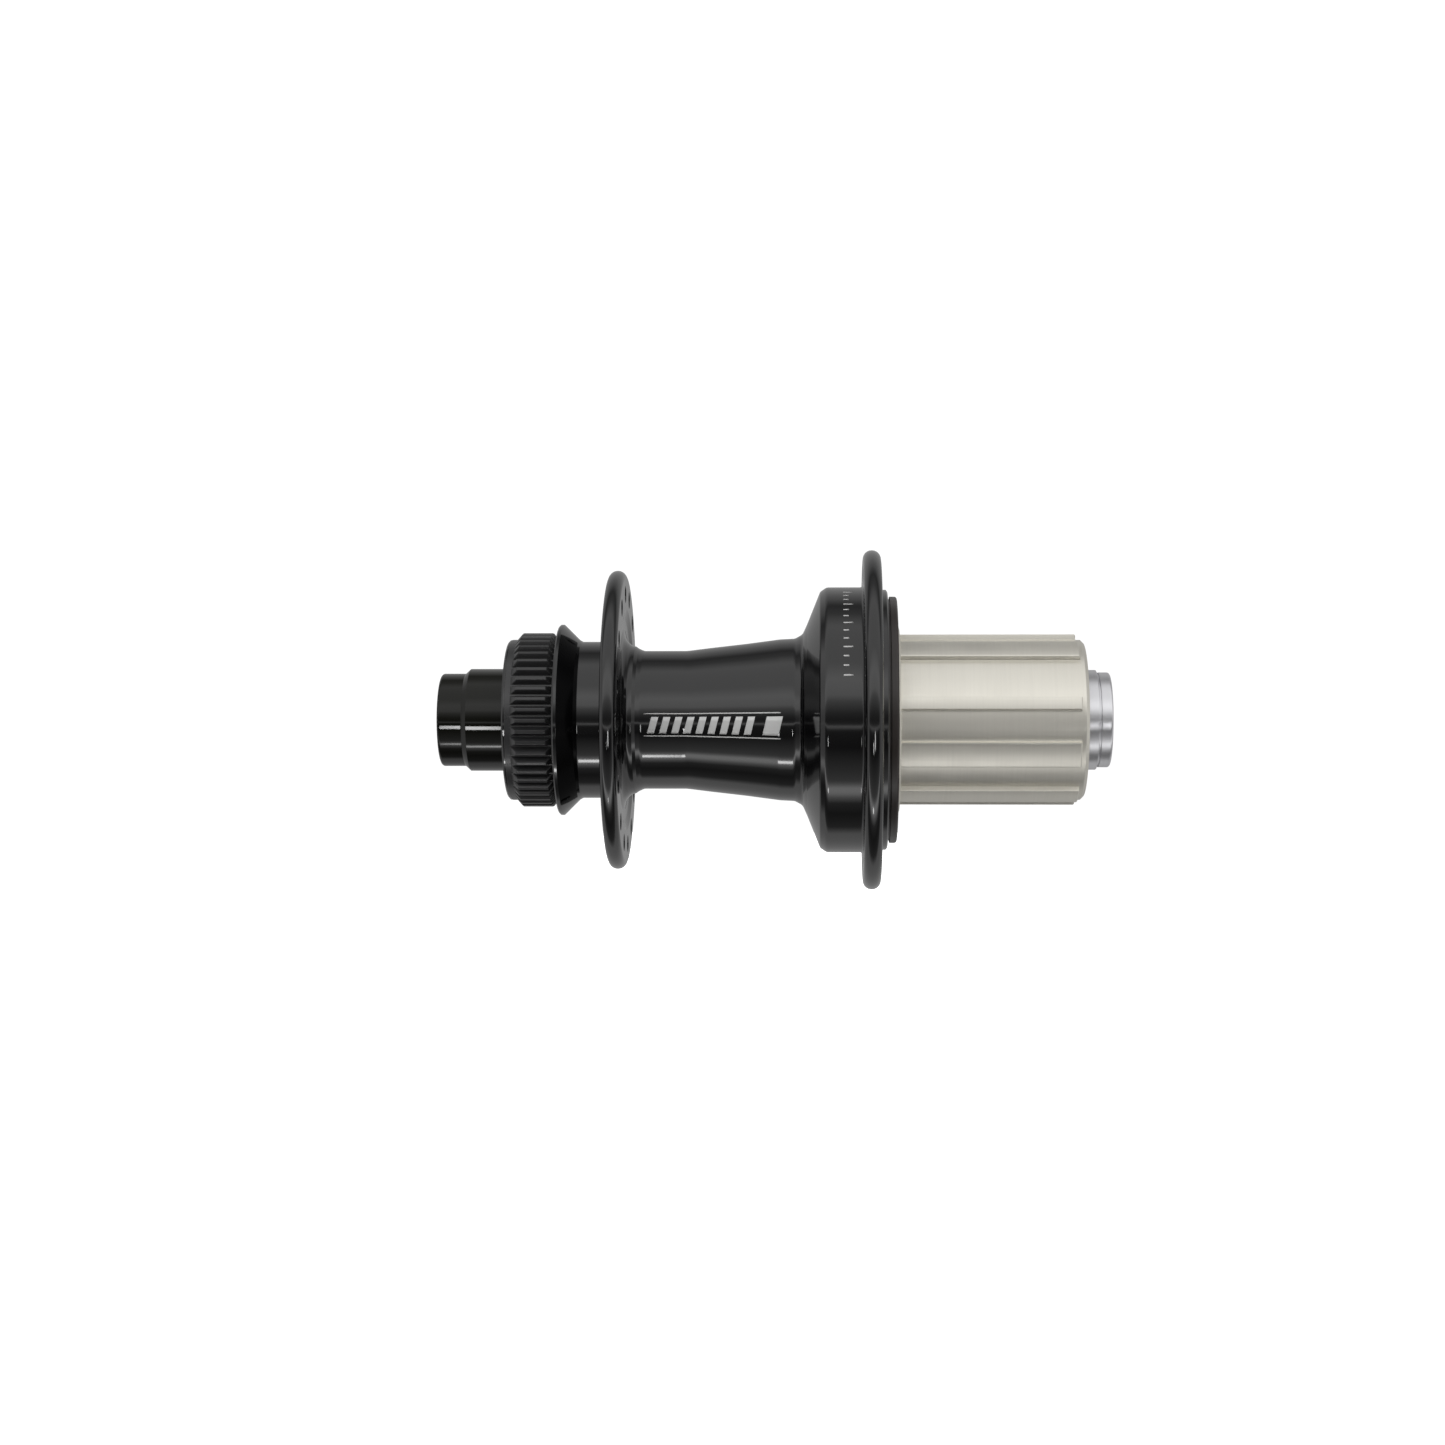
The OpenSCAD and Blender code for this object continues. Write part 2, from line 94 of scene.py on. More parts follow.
def skin(name, *grids, sharp=0.7):
    """Mesh object from grids of points in millimetres, each as (points, rows closed, columns closed, rows
    left out). Neighbouring points make four-sided faces, equal points are joined and all faces are turned
    outward."""
    points, faces, base = [], [], 0
    for grid, rows_closed, columns_closed, left_out in grids:
        rows, columns = grid.shape[:2]
        index = base + np.arange(rows * columns).reshape(rows, columns)
        index = np.vstack([index, index[:1]]) if rows_closed else index
        index = np.hstack([index, index[:, :1]]) if columns_closed else index
        quads = np.stack([index[:-1, :-1], index[:-1, 1:], index[1:, 1:], index[1:, :-1]], axis=-1)
        faces.append(np.delete(quads, left_out, axis=0).reshape(-1, 4))
        points.append(grid.reshape(-1, 3))
        base += rows * columns
    mesh = bpy.data.meshes.new(name)
    mesh.from_pydata((np.vstack(points) * MM).tolist(), [], np.vstack(faces).tolist())
    welded = bmesh.new()
    welded.from_mesh(mesh)
    bmesh.ops.remove_doubles(welded, verts=welded.verts, dist=4e-7)
    bmesh.ops.dissolve_degenerate(welded, edges=welded.edges, dist=1e-8)
    bmesh.ops.recalc_face_normals(welded, faces=welded.faces)
    loose = [v for v in welded.verts if not v.link_faces]
    bmesh.ops.delete(welded, geom=loose, context="VERTS")
    welded.to_mesh(mesh)
    welded.free()
    mesh.shade_smooth()
    mesh.set_sharp_from_angle(angle=sharp)
    made = bpy.data.objects.new(name, mesh)
    bpy.context.scene.collection.objects.link(made)
    return made


def turned_finish(name, colour, metallic, roughness, ior=1.5, marks=0.02, depth=0.15, smudge=0.06,
                  streaks=0.0):
    """Material of a turned or moulded part. Fine marks run round the axle: noise of the radius and y, both
    stretched, with a slight change along the circle, and marks is a quarter of their spacing in millimetres.
    A soft cloud makes the roughness uneven by smudge where hands and cloths have been, and streaks adds noise
    drawn out along the axle, as a mating part leaves when it slides on."""
    material = bpy.data.materials.new(name)
    material.use_nodes = True
    nodes, links = material.node_tree.nodes, material.node_tree.links
    shader = nodes["Principled BSDF"]
    shader.inputs["Metallic"].default_value = metallic
    shader.inputs["IOR"].default_value = ior
    place = nodes.new("ShaderNodeTexCoord")
    split = nodes.new("ShaderNodeSeparateXYZ")
    links.new(place.outputs["Object"], split.inputs[0])
    flat = nodes.new("ShaderNodeCombineXYZ")
    links.new(split.outputs[0], flat.inputs[0])
    links.new(split.outputs[2], flat.inputs[2])
    radius = nodes.new("ShaderNodeVectorMath")
    radius.operation = "LENGTH"
    links.new(flat.outputs[0], radius.inputs[0])
    along = nodes.new("ShaderNodeCombineXYZ")
    links.new(split.outputs[1], along.inputs[1])
    links.new(radius.outputs["Value"], along.inputs[0])
    fine = nodes.new("ShaderNodeVectorMath")
    fine.operation = "SCALE"
    fine.inputs["Scale"].default_value = 1 / (marks * MM * 4)
    links.new(along.outputs[0], fine.inputs[0])
    slow = nodes.new("ShaderNodeVectorMath")
    slow.operation = "SCALE"
    slow.inputs["Scale"].default_value = 60
    links.new(place.outputs["Object"], slow.inputs[0])
    mixed = nodes.new("ShaderNodeVectorMath")
    mixed.operation = "ADD"
    links.new(fine.outputs[0], mixed.inputs[0])
    links.new(slow.outputs[0], mixed.inputs[1])
    lines = nodes.new("ShaderNodeTexNoise")
    lines.inputs["Scale"].default_value = 1.0
    lines.inputs["Detail"].default_value = 3.0
    links.new(mixed.outputs[0], lines.inputs["Vector"])
    bump = nodes.new("ShaderNodeBump")
    bump.inputs["Strength"].default_value = depth
    bump.inputs["Distance"].default_value = 0.002 * MM
    links.new(lines.outputs["Fac"], bump.inputs["Height"])
    links.new(bump.outputs["Normal"], shader.inputs["Normal"])
    cloud = nodes.new("ShaderNodeTexNoise")
    cloud.inputs["Scale"].default_value = 140.0
    cloud.inputs["Detail"].default_value = 4.0
    links.new(place.outputs["Object"], cloud.inputs["Vector"])
    rough = nodes.new("ShaderNodeMapRange")
    rough.inputs["From Min"].default_value = 0.3
    rough.inputs["From Max"].default_value = 0.75
    rough.inputs["To Min"].default_value = roughness - smudge / 2
    rough.inputs["To Max"].default_value = roughness + smudge / 2
    links.new(cloud.outputs["Fac"], rough.inputs["Value"])
    lengthwise = nodes.new("ShaderNodeVectorMath")
    lengthwise.operation = "MULTIPLY"
    lengthwise.inputs[1].default_value = (2500, 25, 2500)
    links.new(place.outputs["Object"], lengthwise.inputs[0])
    streak = nodes.new("ShaderNodeTexNoise")
    streak.inputs["Scale"].default_value = 1.0
    links.new(lengthwise.outputs[0], streak.inputs["Vector"])
    streaked = nodes.new("ShaderNodeMath")
    streaked.operation = "MULTIPLY_ADD"
    streaked.inputs[1].default_value = streaks
    links.new(streak.outputs["Fac"], streaked.inputs[0])
    links.new(rough.outputs["Result"], streaked.inputs[2])
    links.new(streaked.outputs[0], shader.inputs["Roughness"])
    tint = nodes.new("ShaderNodeMix")
    tint.data_type = "RGBA"
    tint.inputs["A"].default_value = (*[c * 0.95 for c in colour], 1)
    tint.inputs["B"].default_value = (*[min(1, c * 1.03) for c in colour], 1)
    links.new(lines.outputs["Fac"], tint.inputs["Factor"])
    links.new(tint.outputs["Result"], shader.inputs["Base Color"])
    material.diffuse_color = (*colour, 1)
    return material


black = turned_finish("gloss_black_anodise", (0.004, 0.004, 0.0045), 0.0, 0.085, ior=1.62, marks=0.05,
                      smudge=0.04)
SEGMENTS = 160
SPOKES = 16
HOLE_R = 1.3
SINK = 0.5
DISC_LEFT, DISC_RIGHT, DISC_HOLES_R = -33.25, -29.95, 25.5
DRIVE_LEFT, DRIVE_RIGHT, DRIVE_HOLES_R = 17.9, 21.5, 30.0
DISC_FIELD = (23.2, 27.8)
DRIVE_FIELD = (27.75, 32.25)
FIRST_HOLE = -7.0
THREAD_PITCH = 1.0
THREAD_STEP = 0.1
turn = FIRST_HOLE + np.arange(SEGMENTS) * 360 / SEGMENTS

shell_profile = rounded([
    (14.9, -53.7, 0.12), (15.87, -53.7, 0.12), (16.22, -53.35, 0.1), (16.22, -43.2, 0.05),
    (17.9, -43.2, 0.05), (17.9, -43.4, 0.04), (19.03, -43.4, 0.08), (19.33, -43.1, 0.08),
    (19.33, -42.55, 0.12), (16.25, -39.45, 0.3), (15.85, -38.75, 0.8), (15.85, DISC_LEFT, 0.8),
    (DISC_FIELD[0], DISC_LEFT, 0), (DISC_FIELD[1], DISC_LEFT, 0), (30.24, DISC_LEFT, 1.62),
    (30.24, DISC_RIGHT, 1.62), (DISC_FIELD[1], DISC_RIGHT, 0), (DISC_FIELD[0], DISC_RIGHT, 0),
    (22.4, DISC_RIGHT, 2), (20.4, -30.43, 3), (18.4, -30.49, 3), (16.2, -30.05, 2.5), (15.05, -28.75, 1.4),
    (14.9, -28.0, 0.12), (14.45, -27.35, 0.3), (13.98, -26.3, 1.6), (13.98, -17.6, 9), (14.6, -12.6, 30),
    (15.4, -5.6, 60), (16.3, 1.2, 8), (16.45, 4.2, 1.5), (17.3, 5.75, 1.5), (19.4, 6.7, 3),
    (25.9, 9.3, 0.9), (26.8, 10.6, 1.4), (26.8, DRIVE_LEFT, 0.6), (DRIVE_FIELD[0], DRIVE_LEFT, 0),
    (DRIVE_FIELD[1], DRIVE_LEFT, 0), (34.27, DRIVE_LEFT, 1.77), (34.27, DRIVE_RIGHT, 1.77),
    (DRIVE_FIELD[1], DRIVE_RIGHT, 0), (DRIVE_FIELD[0], DRIVE_RIGHT, 0), (26.3, DRIVE_RIGHT, 0.12),
    (26.3, 22.5, 0.15), (25.9, 22.8, 0.15), (24.4, 22.8, 0.1), (24.4, 10.9, 0.2), (15.0, 10.9, 0.1),
    (15.0, 3.2, 0.1), (12.0, 3.2, 0.2), (12.0, -39.2, 0.2), (14.0, -39.2, 0.1), (14.0, -46.7, 0.05),
    (14.5, -46.7, 0.05), (14.5, -53.3, 0.05)])


def threaded(profile, angles, radius, start, stop, height):
    """Radii by row and column for a profile whose bore from start to stop carries a thread: the wall of that
    radius is pushed out by a wave that advances by one pitch in a turn, and fades over half a pitch at both
    ends."""
    on_wall = (abs(profile[:, 0] - radius) < 0.02) & (profile[:, 1] > start) & (profile[:, 1] < stop)
    turns = profile[:, 1:] / THREAD_PITCH - angles[None, :] / 360
    wave = 0.5 - 0.5 * np.cos(2 * np.pi * turns)
    fade = np.clip(np.minimum(profile[:, 1] - start, stop - profile[:, 1]) / (THREAD_PITCH / 2), 0, 1)
    return profile[:, :1] + height * wave * (on_wall * fade)[:, None]


def with_wall(profile, radius, start, stop):
    """The profile with a row every thread step along its wall of that radius."""
    at = np.flatnonzero((abs(profile[:, 0] - radius) < 0.02) & (abs(profile[:, 1] - start) < 0.6))[-1]
    step = np.sign(stop - start) * THREAD_STEP
    places = np.arange(profile[at, 1] + step, stop, step)
    rows = np.stack([np.full(places.shape, radius), places], axis=1)
    return np.insert(profile, at + 1, rows, axis=0)


def row_before(profile, radius, y):
    """Index of the row at a corner of the profile."""
    return int(np.argmin(np.hypot(profile[:, 0] - radius, profile[:, 1] - y)))


def spoke_field(field, holes_r, left, right, first):
    """Grids for the flat ring of a flange that holds the spoke holes. In each sector, rings pass from the
    outline of the sector on the left face to a circle about the hole, down the countersink, through the hole
    and out again."""
    side = np.linspace(field[0], field[1], 7)[1:-1]
    half = 180 / SPOKES
    sweep = np.linspace(-half, half, SEGMENTS // SPOKES + 1)
    out_r = np.concatenate([np.full(sweep.size, field[0]), side,
                            np.full(sweep.size, field[1]), side[::-1]])
    out_a = np.concatenate([sweep, np.full(side.size, half), sweep[::-1], np.full(side.size, -half)])
    outline = np.stack([out_r * np.cos(np.radians(out_a)), out_r * np.sin(np.radians(out_a))], axis=1)
    middle = np.array([holes_r, 0.0])
    towards = np.arctan2(outline[:, 1], outline[:, 0] - holes_r)
    circle = np.stack([np.cos(towards), np.sin(towards)], axis=1)
    wide = HOLE_R + SINK
    blend = np.array([0, 0.3, 0.6, 0.82, 0.95])[:, None, None]
    flat = outline[None] * (1 - blend) + (middle + circle * (wide + 0.06))[None] * blend
    radii = np.array([wide + 0.06, wide + 0.02, wide - 0.03, HOLE_R + 0.05, HOLE_R + 0.01, HOLE_R, HOLE_R])
    depths = np.array([0, 0.01, 0.05, SINK - 0.03, SINK + 0.01, SINK + 0.05, (right - left) / 2])
    tube = middle + circle[None] * radii[:, None, None]
    rings = np.concatenate([flat, tube])
    depth = np.concatenate([np.zeros(len(flat)), depths])
    rings = np.concatenate([rings, rings[-2::-1]])
    y = np.concatenate([left + depth, (right - depth)[-2::-1]])
    spin = np.radians(first + np.arange(SPOKES) * 360 / SPOKES)[:, None, None]
    x = rings[None, ..., 0] * np.cos(spin) - rings[None, ..., 1] * np.sin(spin)
    z = rings[None, ..., 0] * np.sin(spin) + rings[None, ..., 1] * np.cos(spin)
    grids = np.stack([x, np.broadcast_to(y[None, :, None], x.shape), z], axis=-1)
    return [(sector, False, True, []) for sector in grids]


BOSS_THREAD_R = 14.5
shell_profile = with_wall(shell_profile, BOSS_THREAD_R, -46.9, -53.1)
shell_r = threaded(shell_profile, turn, BOSS_THREAD_R, -53.2, -46.9, height=0.42)
field_corners = [(DISC_FIELD[0], DISC_LEFT), (DISC_FIELD[1], DISC_RIGHT),
                 (DRIVE_FIELD[0], DRIVE_LEFT), (DRIVE_FIELD[1], DRIVE_RIGHT)]
open_rows = [row_before(shell_profile, *corner) for corner in field_corners]
hub_shell = skin(
    "hub_shell_turned",
    (about_axle(shell_r, shell_profile[:, 1], turn), True, True, open_rows),
    *spoke_field(DISC_FIELD, DISC_HOLES_R, DISC_LEFT, DISC_RIGHT, FIRST_HOLE),
    *spoke_field(DRIVE_FIELD, DRIVE_HOLES_R, DRIVE_LEFT, DRIVE_RIGHT, FIRST_HOLE - 180 / SPOKES))
hub_shell.data.materials.append(black)
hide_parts("hub_shell")
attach(hub_shell, "shell")

# ---- Rotor spline -----------------------------------------------------------------------------------------
# The toothed band of the left boss, milled from the same aluminium as the shell. The brake rotor slides onto
# its 50 teeth against the shoulder.
TEETH = 50
ROOT_R = 16.275
TIP_R = 17.62
FIRST_TOOTH = -0.7
tooth_pitch = 360 / TEETH
part_of_pitch = np.array([0, 0.08, 0.12, 0.142, 0.16, 0.18, 0.24, 0.3, 0.37, 0.39, 0.41, 0.44, 0.5])
part_of_depth = np.array([0, 0, 0.003, 0.018, 0.06, 0.13, 0.36, 0.6, 0.88, 0.95, 0.985, 1, 1])
tooth_r = TIP_R - (TIP_R - ROOT_R) * part_of_depth
around_tooth = np.concatenate([-part_of_pitch[-2:0:-1], part_of_pitch])
tooth_outline = np.concatenate([tooth_r[-2:0:-1], tooth_r])
middles = FIRST_TOOTH + np.arange(TEETH)[:, None] * tooth_pitch
spline_turn = (middles + around_tooth[None, :] * tooth_pitch).ravel()
spline_outline = np.tile(tooth_outline, TEETH)
spline_y = np.concatenate([[-53.1, -53.0], np.linspace(-51.95, -50.8, 13),
                           [-50.72, -50.5, -48, -45.1, -44.88],
                           np.linspace(-44.8, -43.75, 13), [-43.3, -43.22]])
rise = np.interp(spline_y, [-51.95, -50.82, -50.72, -44.88, -44.78, -43.75],
                 [ROOT_R, TIP_R - 0.05, TIP_R, TIP_R, TIP_R - 0.05, ROOT_R])
spline_r = np.maximum(np.minimum(spline_outline[None, :], rise[:, None]), ROOT_R)
spline_r[[0, -1]] = ROOT_R - 0.1
under = about_axle(np.full(2, 15.9), np.array([-43.3, -53.0]), spline_turn)
teeth = np.concatenate([about_axle(spline_r, spline_y, spline_turn), under])
spline = skin("rotor_spline_teeth", (teeth, True, True, []), sharp=0.5)
satin_black = turned_finish("satin_black_anodise", (0.032, 0.032, 0.033), 0.0, 0.3, ior=1.55, marks=0.09)
spline.data.materials.append(satin_black)
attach(spline, "shell")

# ---- Etched marks -----------------------------------------------------------------------------------------
# Plain decoration etched through the anodising, so that the bright metal shows: slanted bars with a line
# above and below on the barrel, and a scale of short ticks on the ratchet housing.
ETCH_LIFT = 0.014
ETCH_DEPTH = 0.03
BARS = 9
BAR_PITCH = 2.4
BAR_LOW, BAR_HIGH = -11.0, 2.4
TICKS = 13
TICK_PITCH = 4.4


def etched(name, start_y, end_y, low, high, slant, steps=(9, 9)):
    """Thin closed strips on the shell, one for each entry of the lists: from start_y to end_y in millimetres
    and from low to high in degrees, with the ends leaning by slant millimetres. Each follows the radius of
    the shell at its y."""
    given = (start_y, end_y, low, high, slant)
    start_y, end_y, low, high, slant = [np.array(v, float)[:, None, None] for v in given]
    u = np.linspace(0, 1, steps[0])[None, :, None]
    v = np.linspace(0, 1, steps[1])[None, None, :]
    y = start_y + (end_y - start_y) * u + slant * (v - 0.5) * np.ones_like(u)
    angle = np.radians(low + (high - low) * v + 0 * y)
    outer = shell_profile[:row_before(shell_profile, 26.8, 17.3) + 1]
    outer = outer[outer[:, 1] > -29]
    outer = outer[np.argsort(outer[:, 1])]
    r = np.interp(y, outer[:, 1], outer[:, 0]) + ETCH_LIFT
    grids = np.stack([r * np.cos(angle), y, r * np.sin(angle)], axis=-1)
    made = skin(name, *[(g, False, False, []) for g in grids])
    thickness = made.modifiers.new("thickness", "SOLIDIFY")
    thickness.thickness = ETCH_DEPTH * MM
    thickness.offset = -1
    return made


etch = turned_finish("etched_bare_aluminium", (0.8, 0.8, 0.79), 0.2, 0.5, marks=0.02, depth=0.2)
bars = np.arange(BARS) * BAR_PITCH
barrel_mark = etched(
    "barrel_etched_bars",
    np.append(-24.5 + bars, [-25.6, -25.6, -1.6]),
    np.append(-23.1 + bars, [1.6, 1.6, 1.6]),
    np.append(np.full(BARS, BAR_LOW), [4.6, -13.6, BAR_LOW]),
    np.append(np.full(BARS, BAR_HIGH), [5.4, -12.8, BAR_HIGH]),
    np.append(np.full(BARS, 0.9), [0, 0, 0.9]), steps=(33, 5))
tick_low = 18.5 + np.arange(TICKS) * TICK_PITCH
tick_length = np.where(np.arange(TICKS) % 3 == 0, 1.9, 1.1)
housing_mark = etched("housing_etched_scale", np.full(TICKS, 13.9), 13.9 + tick_length, tick_low,
                      tick_low + 0.7, np.zeros(TICKS), steps=(5, 4))
for mark in (barrel_mark, housing_mark):
    mark.data.materials.append(etch)
    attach(mark, "shell")

# ---- Left end cap and axle --------------------------------------------------------------------------------
# The cap is turned from black-anodised aluminium and pushed over the end of the hollow axle, where an O-ring
# holds it. Its flat end meets the frame, and the flange behind it keeps dirt off the bearing.
disc_cap_profile = rounded([
    (6.05, -67.1, 0.05), (6.45, -67.5, 0.05), (9.4, -67.5, 0.62), (9.4, -62.6, 0.12), (10.36, -61.55, 0.12),
    (10.36, -48.6, 0.2), (12.9, -48.1, 0.15), (12.9, -47.2, 0.15), (9.9, -46.8, 0.1), (9.9, -46.2, 0.05),
    (8.52, -46.2, 0.02), (8.52, -50.9, 0.05), (6.05, -50.9, 0.1)])
disc_cap = skin("disc_end_cap_turned",
                (about_axle(disc_cap_profile[:, 0], disc_cap_profile[:, 1], turn), True, True, []))
cap_black = turned_finish("cap_black_anodise", (0.006, 0.006, 0.0035), 0.0, 0.08, ior=1.36, marks=0.06,
                          smudge=0.03)
disc_cap.data.materials.append(cap_black)
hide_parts("disc_end_cap")
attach(disc_cap, "axle_group")

axle_profile = rounded([
    (6.5, -50.6, 0.1), (8.1, -50.6, 0.05), (8.5, -50.2, 0.05), (8.5, -49.3, 0.02), (7.6, -49.3, 0.02),
    (7.6, -48.0, 0.02), (8.5, -48.0, 0.02), (8.5, -39.2, 0.05), (9.75, -39.2, 0.1), (9.75, 3.2, 0.1),
    (8.5, 3.2, 0.05), (8.5, 55.7, 0.02), (7.6, 55.7, 0.02), (7.6, 57.0, 0.02), (8.5, 57.0, 0.02),
    (8.5, 57.2, 0.05), (8.1, 57.6, 0.05), (6.5, 57.6, 0.1)])
axle = skin("axle_turned", (about_axle(axle_profile[:, 0], axle_profile[:, 1], turn), True, True, []))
axle_metal = turned_finish("clear_anodise", (0.5, 0.5, 0.51), 0.95, 0.28, marks=0.08, depth=0.4)
axle.data.materials.append(axle_metal)
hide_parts("axle")
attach(axle, "axle_group")

# ---- Freehub body -----------------------------------------------------------------------------------------
# Hard-anodised aluminium with nine lands for the sprockets, a shoulder for the largest one, a thread for the
# lockring in its mouth, and the six-pocket pawl carrier that reaches into the shell.
LANDS = 9
LAND_PITCH = 40
LAND_HALF = 9
NARROW_LAND = (6.9, 15.1)
FIRST_LAND = 16
LAND_R = 17.25
FLOOR_R = 16.14
MOUTH_THREAD_R = 14.8
POCKETS = 6
POCKET = (-7.5, 37.0)
POCKET_FLOOR_R = 14.5
pocket_pitch = 360 / POCKETS
wide_middles = FIRST_LAND - LAND_PITCH * np.arange(1, LANDS)
land_edges = np.stack([np.append(wide_middles - LAND_HALF, NARROW_LAND[0]),
                       np.append(wide_middles + LAND_HALF, NARROW_LAND[1])], axis=1)
edge_steps = np.array([-0.3, -0.1, -0.02, 0.02, 0.09, 0.2])
edge_heights = np.array([0, 0.03, 0.12, 0.93, 0.985, 1.0])
land_turn = np.concatenate([land_edges[:, :1] + edge_steps, land_edges[:, 1:] - edge_steps[::-1]], axis=1)
land_height = np.tile(np.concatenate([edge_heights, edge_heights[::-1]]), (LANDS, 1))
pocket_sides = np.array([POCKET[0] - 0.1, POCKET[0], POCKET[1], POCKET[1] + 0.1])
pocket_edges = (np.arange(POCKETS)[:, None] * pocket_pitch + pocket_sides[None, :]).ravel()
freehub_turn = np.concatenate([land_turn.ravel(), pocket_edges, np.arange(0, 360, 1.875)]) % 360
freehub_turn = np.unique(np.round(freehub_turn, 4))
known_turn = land_turn.ravel()
known_height = land_height.ravel()
height_at = np.interp(freehub_turn, known_turn, known_height, period=360)
freehub_outside = [
    (13.0, 11.5, 0.1), (20.0, 11.5, 0.05), (20.2, 11.7, 0.05), (20.2, 12.09, 0), (20.2, 12.11, 0),
    (20.2, 15.8, 0), (20.2, 19.49, 0), (20.2, 19.51, 0), (20.2, 20.1, 0.05), (20.0, 20.3, 0.05),
    (18.76, 20.3, 0.05), (18.76, 24.95, 0.08), (18.51, 25.2, 0.08), (17.4, 25.2, 0.0)]
freehub_inside = [
    (15.2, 62.2, 0.1), (MOUTH_THREAD_R, 61.8, 0.1), (MOUTH_THREAD_R, 54.6, 0.05), (13.0, 54.6, 0.05),
    (13.0, 54.2, 0.03), (13.7, 54.2, 0.03), (13.7, 53.1, 0.03), (13.0, 53.1, 0.03), (13.0, 48.0, 0.1),
    (11.5, 48.0, 0.1), (11.5, 17.5, 0.1), (13.0, 17.5, 0.1)]
ring_rows = rounded(freehub_outside + [(17.4, 26, 0), (17.4, 40, 0)] + freehub_inside)
ring_rows = np.roll(ring_rows, -row_before(ring_rows, 13.0, 11.6), axis=0)
split_row = row_before(ring_rows, 17.4, 26)
outside_rows = ring_rows[:split_row]
inside_rows = ring_rows[row_before(ring_rows, 17.4, 40) + 1:]
LAND_END = 60.65
land_rows_y = np.append([25.205, 25.3, 26, 34, 43, 52],
                        LAND_END - np.array([0.6, 0.24, 0.22, 0.18, 0.1, 0.04, 0.01, 0]))
land_limit = LAND_R - np.interp(land_rows_y, LAND_END - np.array([0.22, 0.18, 0.01, 0]), [0, 0.03, 0.2, 0.23])
land_rows = np.minimum(FLOOR_R + (LAND_R - FLOOR_R) * height_at[None, :], land_limit[:, None])
floor_y = np.append([LAND_END + 0.002, LAND_END + 0.05],
                    62.2 - np.array([1.1, 0.7, 0.66, 0.62, 0.5, 0.2, 0.05, 0.02, 0, 0]))
floor_r = np.append(np.full(4, FLOOR_R), [16.13, 16.1, 15.99, 15.69, 15.54, 15.5, 15.45, 15.3])
pocket_rows = (outside_rows[:, 1] > 12.1) & (outside_rows[:, 1] < 19.5) & (outside_rows[:, 0] > 20)
from_pivot = (freehub_turn + 20) % pocket_pitch - 20
in_pocket = (from_pivot > POCKET[0] - 0.05) & (from_pivot < POCKET[1] + 0.05)
pocket_floor = POCKET_FLOOR_R / np.cos(np.radians(np.clip(from_pivot, 0, POCKET[1])))
outside_r = np.where(pocket_rows[:, None] & in_pocket[None, :], pocket_floor[None, :], outside_rows[:, :1])
wall_rows = with_wall(inside_rows, MOUTH_THREAD_R, 61.7, 54.7)
inside_r = threaded(wall_rows, freehub_turn, MOUTH_THREAD_R, 54.9, 61.7, height=0.4)
floor_rows = np.repeat(floor_r[:, None], freehub_turn.size, axis=1)
freehub_r = np.concatenate([outside_r, land_rows, floor_rows, inside_r])
freehub_y = np.concatenate([outside_rows[:, 1], land_rows_y, floor_y, wall_rows[:, 1]])
freehub = skin("freehub_body_machined", (about_axle(freehub_r, freehub_y, freehub_turn), True, True, []),
               sharp=0.55)
hard_anodise = turned_finish("hard_anodise", (0.79, 0.765, 0.69), 0.8, 0.34, marks=0.12, depth=0.12,
                             smudge=0.08, streaks=0.12)
freehub.data.materials.append(hard_anodise)
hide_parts("freehub_body")
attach(freehub, "freehub")

# ---- Freehub seal -----------------------------------------------------------------------------------------
# Moulded ring pressed into the mouth of the ratchet housing. Its lip runs just clear of the freehub shoulder
# and keeps dirt out of the ratchet.
seal_profile = rounded([
    (19.96, 20.8, 0.1), (24.38, 20.8, 0.1), (24.38, 23.2, 0.05), (24.9, 23.2, 0.08), (24.9, 24.7, 0.48),
    (22.6, 24.7, 0.3), (22.2, 24.45, 0.3), (20.4, 24.45, 0.3), (20.1, 24.7, 0.2), (19.56, 24.7, 0.15),
    (19.06, 24.4, 0.1), (19.06, 22.6, 0.1), (19.96, 22.2, 0.2)])
seal = skin("freehub_seal_moulded",
            (about_axle(seal_profile[:, 0], seal_profile[:, 1], turn), True, True, []))
seal_rubber = turned_finish("seal_rubber", (0.028, 0.021, 0.018), 0.0, 0.38, ior=1.52, marks=0.3, depth=0.3,
                            smudge=0.12)
seal.data.materials.append(seal_rubber)
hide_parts("freehub_seal")
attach(seal, "shell")

# ---- Right end cap ----------------------------------------------------------------------------------------
# Turned from aluminium and polished, with a groove near its outer end. It is pushed over the end of the axle
# inside the freehub mouth.
drive_cap_profile = rounded([
    (6.05, 57.9, 0.1), (8.52, 57.9, 0.05), (8.52, 53.0, 0.02), (9.8, 53.0, 0.05), (9.8, 54.4, 0.1),
    (12.6, 54.8, 0.15), (12.6, 55.6, 0.15), (10.07, 56.1, 0.2), (10.07, 64.8, 0.2), (9.2, 64.8, 0.04),
    (9.2, 65.2, 0.04), (9.57, 65.2, 0.1), (9.57, 67.5, 0.52), (6.55, 67.5, 0.08), (6.05, 67.0, 0.08)])
drive_cap = skin("drive_end_cap_turned",
                 (about_axle(drive_cap_profile[:, 0], drive_cap_profile[:, 1], turn), True, True, []))
polished = turned_finish("polished_aluminium", (0.72, 0.72, 0.74), 0.9, 0.32, marks=0.05, depth=0.3)
drive_cap.data.materials.append(polished)
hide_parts("drive_end_cap")
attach(drive_cap, "axle_group")

